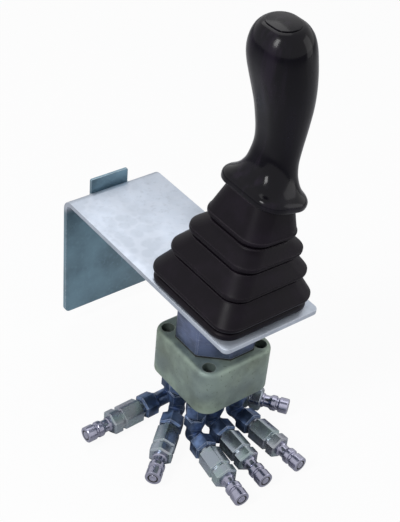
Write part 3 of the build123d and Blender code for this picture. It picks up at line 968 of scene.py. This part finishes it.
class JOYSTICK_OT_finishes(bpy.types.Operator):
    """Give every piece that keeps its CAD shape its finish"""

    bl_idname = "joystick.finishes"
    bl_label = "Finishes"

    def execute(self, context):
        slots = {part["node"]: part["material_slot"] for part in frame["record"]["subparts"]}
        for node, piece in frame["nodes"].items():
            piece.data.materials.clear()
            piece.data.materials.append(finish(slots[node]))
        return {"FINISHED"}


class JOYSTICK_OT_stage(bpy.types.Operator):
    """Set up the floor, the lamps, the world and the camera"""

    bl_idname = "joystick.stage"
    bl_label = "Stage"

    def execute(self, context):
        scene = context.scene
        self.floor(scene)
        self.world(scene)
        target = Vector((0.0, -0.20, 0.08))
        self.lamp(scene, "key", (-1.35, -0.35, 1.25), 0.42, 15.0, target)
        self.lamp(scene, "fill", (1.4, -1.2, 0.6), 0.8, 5.0, target)
        self.lamp(scene, "top", (0.3, 0.6, 1.6), 0.8, 5.5, target)
        self.camera(scene)
        scene.view_settings.view_transform = "Standard"
        return {"FINISHED"}

    def floor(self, scene):
        bm = bmesh.new()
        bmesh.ops.create_grid(bm, x_segments=1, y_segments=1, size=15.0)
        bmesh.ops.translate(bm, vec=(0, 0, cad_box[0][2] - 0.0005), verts=bm.verts)
        mesh = bpy.data.meshes.new("floor")
        bm.to_mesh(mesh)
        bm.free()
        floor = bpy.data.objects.new("floor", mesh)
        scene.collection.objects.link(floor)
        f = Finish("floor")
        grain = f.noise(3.0, 2.0)
        f.set(Base_Color=f.mix((0.93, 0.93, 0.94), (0.96, 0.96, 0.97), grain), Roughness=0.9)
        ray = f.node("ShaderNodeLightPath", out="Is Camera Ray")
        glow = f.node("ShaderNodeEmission", {"Color": (1, 1, 1), "Strength": 1.0})
        mixed = f.node(
            "ShaderNodeMixShader", {0: ray * 0.94, 1: Wire(f, f.shader.outputs[0]), 2: glow}
        )
        f.tree.links.new(mixed.socket, f.output.inputs["Surface"])
        mesh.materials.append(f.material)

    def world(self, scene):
        world = bpy.data.worlds.new("studio")
        scene.world = world
        world.use_nodes = True
        tree = world.node_tree
        tree.nodes.clear()
        output = tree.nodes.new("ShaderNodeOutputWorld")
        light = tree.nodes.new("ShaderNodeBackground")
        light.inputs["Color"].default_value = (0.93, 0.95, 1.0, 1.0)
        light.inputs["Strength"].default_value = 0.27
        white = tree.nodes.new("ShaderNodeBackground")
        white.inputs["Color"].default_value = (1.0, 1.0, 1.0, 1.0)
        rays = tree.nodes.new("ShaderNodeLightPath")
        seen = rays.outputs["Is Camera Ray"]
        for kind in ("Is Glossy Ray", "Is Transmission Ray"):
            either = tree.nodes.new("ShaderNodeMath")
            either.operation = "MAXIMUM"
            tree.links.new(seen, either.inputs[0])
            tree.links.new(rays.outputs[kind], either.inputs[1])
            seen = either.outputs[0]
        mixed = tree.nodes.new("ShaderNodeMixShader")
        tree.links.new(seen, mixed.inputs[0])
        tree.links.new(light.outputs[0], mixed.inputs[1])
        tree.links.new(white.outputs[0], mixed.inputs[2])
        tree.links.new(mixed.outputs[0], output.inputs["Surface"])

    def lamp(self, scene, name, place, size, power, target):
        data = bpy.data.lights.new(name, "AREA")
        data.shape = "RECTANGLE"
        data.size = size
        data.size_y = size * 1.8
        data.energy = power
        lamp = bpy.data.objects.new(name, data)
        lamp.location = place
        lamp.rotation_euler = (target - Vector(place)).to_track_quat("-Z", "Y").to_euler()
        scene.collection.objects.link(lamp)

    def camera(self, scene):
        data = bpy.data.cameras.new("camera")
        data.lens = 80.3
        data.shift_x = -0.0446
        data.shift_y = 0.0184
        data.clip_end = 50.0
        camera = bpy.data.objects.new("camera", data)
        right = Vector((0.7893, -0.6072, 0.0913)).normalized()
        ahead = Vector((0.5205, 0.5828, -0.6240)).normalized()
        up = right.cross(ahead).normalized()
        right = ahead.cross(up)
        turn = Matrix((right, up, -ahead)).transposed().to_4x4()
        camera.matrix_world = Matrix.Translation((-0.5632, -0.8247, 0.7154)) @ turn
        scene.collection.objects.link(camera)
        scene.camera = camera


class JOYSTICK_PT_panel(bpy.types.Panel):
    """Lists the builders, the sizes and the colours"""

    bl_idname = "JOYSTICK_PT_panel"
    bl_label = "Joystick"
    bl_space_type = "VIEW_3D"
    bl_region_type = "UI"
    bl_category = "Joystick"

    def draw(self, context):
        for operator in OPERATORS:
            self.layout.operator(operator.bl_idname)
        for group in (context.scene.joystick_sizes, context.scene.joystick_colours):
            for key in group.__annotations__:
                self.layout.prop(group, key)


OPERATORS = (
    JOYSTICK_OT_finishes,
    JOYSTICK_OT_bracket,
    JOYSTICK_OT_boot,
    JOYSTICK_OT_grip,
    JOYSTICK_OT_legs,
    JOYSTICK_OT_poppets,
    JOYSTICK_OT_springs,
    JOYSTICK_OT_stage,
)
CLASSES = (JoystickSizes, JoystickColours, *OPERATORS, JOYSTICK_PT_panel)


def register():
    for item in CLASSES:
        bpy.utils.register_class(item)
    bpy.types.Scene.joystick_sizes = bpy.props.PointerProperty(type=JoystickSizes)
    bpy.types.Scene.joystick_colours = bpy.props.PointerProperty(type=JoystickColours)


def unregister():
    del bpy.types.Scene.joystick_colours
    del bpy.types.Scene.joystick_sizes
    for item in reversed(CLASSES):
        bpy.utils.unregister_class(item)


def main():
    register()
    bpy.ops.joystick.finishes()
    bpy.ops.joystick.bracket()
    bpy.ops.joystick.boot()
    bpy.ops.joystick.grip()
    bpy.ops.joystick.legs()
    bpy.ops.joystick.poppets()
    bpy.ops.joystick.springs()
    bpy.ops.joystick.stage()


if __name__ == "__main__":
    main()
